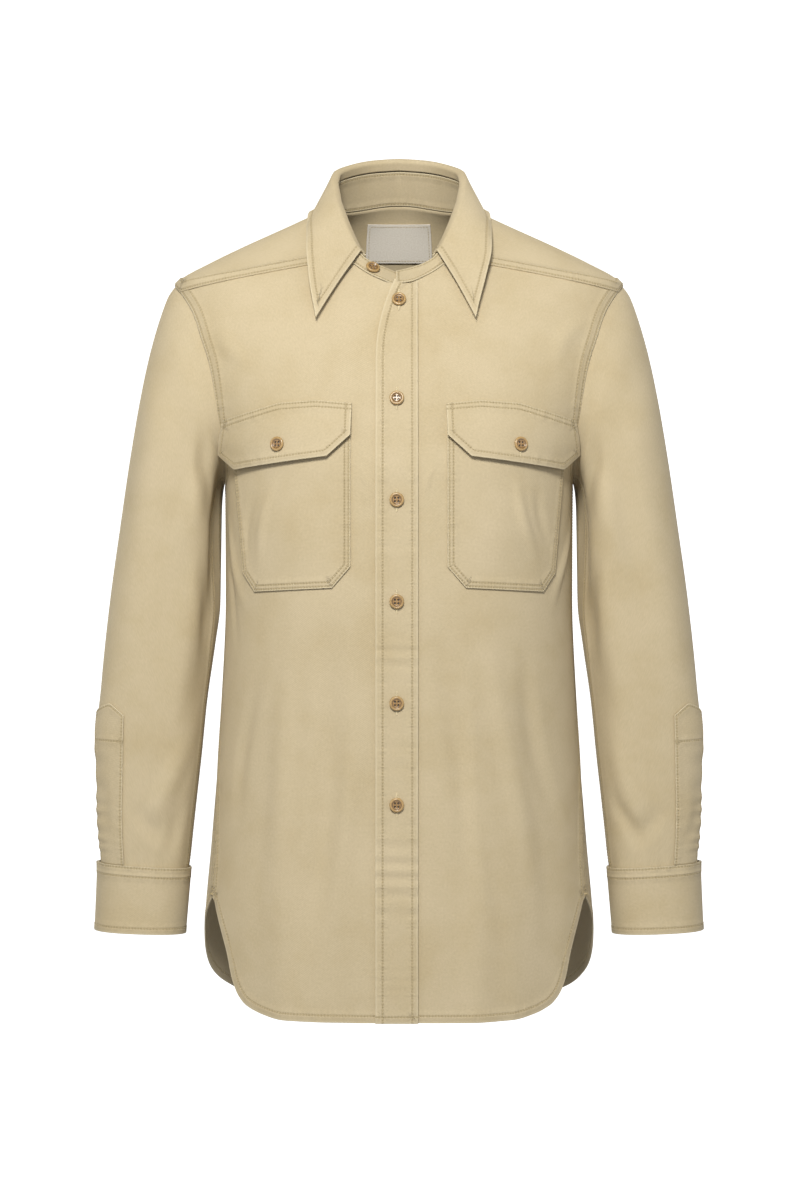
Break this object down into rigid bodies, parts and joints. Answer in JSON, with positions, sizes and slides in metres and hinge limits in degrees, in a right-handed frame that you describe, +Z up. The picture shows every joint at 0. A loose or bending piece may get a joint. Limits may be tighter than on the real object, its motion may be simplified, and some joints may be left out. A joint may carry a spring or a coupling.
{
  "type": "overshirt",
  "caption": "Long-sleeved button-front overshirt in khaki twill, filled out as if worn, with a pointed collar, flapped chest pockets, buttoned cuffs and a shirt-tail hem.",
  "frame": {"origin": "between the two neck points of the shoulders, where the wearer's neck and shoulders hold the shirt up", "axes": "+Z up, the front faces -Y, and +X is the wearer's left"},
  "size_m": [0.5862, 0.2663, 0.8591],
  "materials": {
    "khaki_twill": "washed cotton twill",
    "label_cloth": "woven cotton",
    "buttons": "polished horn look"
  },
  "bodies": {
    "root": {"back": "khaki_twill", "collar_fall": "khaki_twill", "collar_stand": "khaki_twill", "cuff_left": "khaki_twill", "cuff_right": "khaki_twill", "flap_left": "khaki_twill", "flap_right": "khaki_twill", "front_band": "khaki_twill", "front_left": "khaki_twill", "front_right": "khaki_twill", "gauntlet_left": "khaki_twill", "gauntlet_right": "khaki_twill", "pocket_left": "khaki_twill", "pocket_right": "khaki_twill", "sleeve_left": "khaki_twill", "sleeve_right": "khaki_twill", "yoke": "khaki_twill", "neck_label": "label_cloth", "cuff_button_left": "buttons", "cuff_button_right": "buttons", "flap_button_left": "buttons", "flap_button_right": "buttons", "front_button_1": "buttons", "front_button_2": "buttons", "front_button_3": "buttons", "front_button_4": "buttons", "front_button_5": "buttons", "front_button_6": "buttons", "stand_button": "buttons"}
  },
  "joints": []
}
